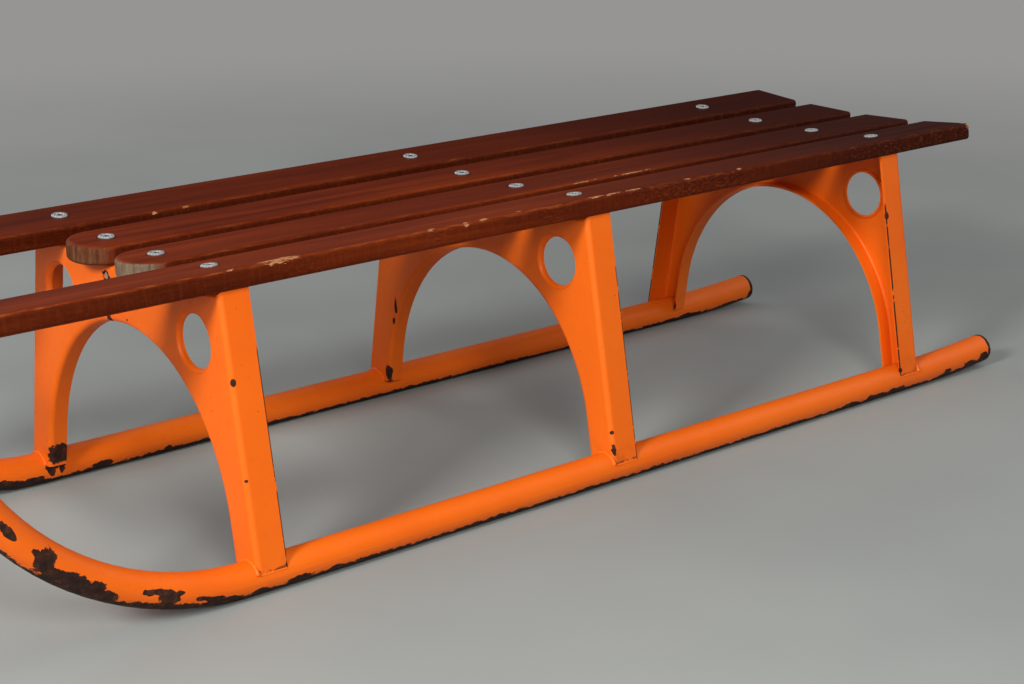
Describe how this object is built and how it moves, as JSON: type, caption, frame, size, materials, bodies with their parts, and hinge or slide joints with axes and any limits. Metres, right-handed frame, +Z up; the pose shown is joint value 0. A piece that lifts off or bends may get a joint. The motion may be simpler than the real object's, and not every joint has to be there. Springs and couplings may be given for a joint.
{
  "type": "snow sled",
  "caption": "Low snow sled with round tube runners, pressed steel arched bridges with flared holes and a dished seat of wooden slats.",
  "frame": {"origin": "on the ground below the middle of the overall box", "axes": "+X the way the sled travels, +Y its left side, +Z up"},
  "size_m": [1.0699, 0.325, 0.2255],
  "materials": {
    "orange_paint": "satin orange paint, chipped to dark steel under the runners",
    "stained_wood": "red-brown stained and lacquered wood, worn at the edges",
    "zinc": "dull bright metal"
  },
  "bodies": {
    "root": {"runner_left": "orange_paint", "runner_right": "orange_paint", "plug_tail_left": "orange_paint", "plug_tail_right": "orange_paint", "plug_nose_left": "orange_paint", "plug_nose_right": "orange_paint", "front_cross_tube": "orange_paint", "bridge_front": "orange_paint", "bridge_middle": "orange_paint", "bridge_rear": "orange_paint", "slat_left_outer": "stained_wood", "slat_left_inner": "stained_wood", "slat_right_inner": "stained_wood", "slat_right_outer": "stained_wood", "rivet_front_left_outer": "zinc", "rivet_front_left_inner": "zinc", "rivet_front_right_inner": "zinc", "rivet_front_right_outer": "zinc", "rivet_middle_left_outer": "zinc", "rivet_middle_left_inner": "zinc", "rivet_middle_right_inner": "zinc", "rivet_middle_right_outer": "zinc", "rivet_rear_left_outer": "zinc", "rivet_rear_left_inner": "zinc", "rivet_rear_right_inner": "zinc", "rivet_rear_right_outer": "zinc", "cross_bolt_left": "zinc", "cross_nut_left": "zinc", "cross_bolt_right": "zinc", "cross_nut_right": "zinc"}
  },
  "joints": []
}
